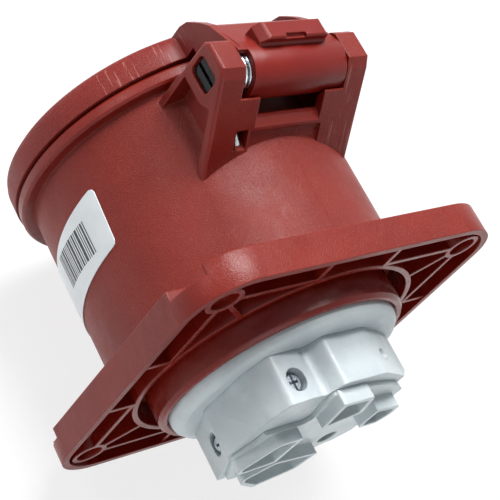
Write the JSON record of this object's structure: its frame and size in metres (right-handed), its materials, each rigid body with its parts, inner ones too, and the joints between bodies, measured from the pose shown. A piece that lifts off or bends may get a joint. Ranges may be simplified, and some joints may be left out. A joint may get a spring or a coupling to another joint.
{
  "type": "panel socket outlet",
  "caption": "Square-flanged panel socket with a round barrel, a sprung hinged lid and a rear contact carrier with screw terminals.",
  "frame": {"origin": "on the socket axis, in the plane where the flange rests on the panel", "axes": "+Y from the lid towards the back of the panel, +Z towards the lid hinge, +X to the right seen from the front"},
  "size_m": [0.075, 0.0776, 0.085],
  "materials": {
    "housing_red": "moulded red plastic, fine sand-blast texture on the barrel",
    "lid_red": "moulded red plastic, smooth",
    "gasket_rubber": "matt soft rubber",
    "pin_black": "black moulded plastic",
    "spring_steel": "drawn spring wire",
    "carrier_grey": "pale grey moulded plastic",
    "guide_grey": "pale grey moulded plastic",
    "contact_brass": "turned brass",
    "ring_steel": "rolled spring steel",
    "screw_steel": "zinc plated steel",
    "label_film": "blank silver-white film"
  },
  "bodies": {
    "base": {"housing": "housing_red", "hinge_pin": "pin_black", "lid_spring": "spring_steel", "contact_carrier": "carrier_grey", "terminal_towers": "carrier_grey", "terminal_cover": "guide_grey", "label": "label_film", "contact_l1": "contact_brass", "contact_l2": "contact_brass", "contact_l3": "contact_brass", "contact_n": "contact_brass", "contact_pe": "contact_brass", "ring_l1": "ring_steel", "ring_l2": "ring_steel", "ring_l3": "ring_steel", "ring_n": "ring_steel", "ring_pe": "ring_steel"},
    "lid": {"lid": "lid_red", "lid_gasket": "gasket_rubber"},
    "screw_l1": {"screw_l1": "screw_steel"},
    "screw_l2": {"screw_l2": "screw_steel"},
    "screw_l3": {"screw_l3": "screw_steel"},
    "screw_n": {"screw_n": "screw_steel"},
    "screw_pe": {"screw_pe": "screw_steel"}
  },
  "joints": [
    {"name": "lid_hinge", "type": "hinge", "parent": "base", "child": "lid", "pos_m": [0, -0.04025, 0.0397], "axis": [-1, 0, 0], "range_deg": [0, 108], "stiffness_Nm_per_rad": 0.02, "springref_deg": -68.75, "deforming": ["lid_spring"]},
    {"name": "terminal_screw_l1", "type": "slide", "parent": "base", "child": "screw_l1", "axis": [0, 0, 1], "range_m": [0, 0.002]},
    {"name": "terminal_screw_l2", "type": "slide", "parent": "base", "child": "screw_l2", "axis": [-0.9511, 0, 0.309], "range_m": [0, 0.002]},
    {"name": "terminal_screw_l3", "type": "slide", "parent": "base", "child": "screw_l3", "axis": [-0.5878, 0, -0.809], "range_m": [0, 0.002]},
    {"name": "terminal_screw_n", "type": "slide", "parent": "base", "child": "screw_n", "axis": [0.5878, 0, -0.809], "range_m": [0, 0.002]},
    {"name": "terminal_screw_pe", "type": "slide", "parent": "base", "child": "screw_pe", "axis": [0.9511, 0, 0.309], "range_m": [0, 0.002]}
  ]
}
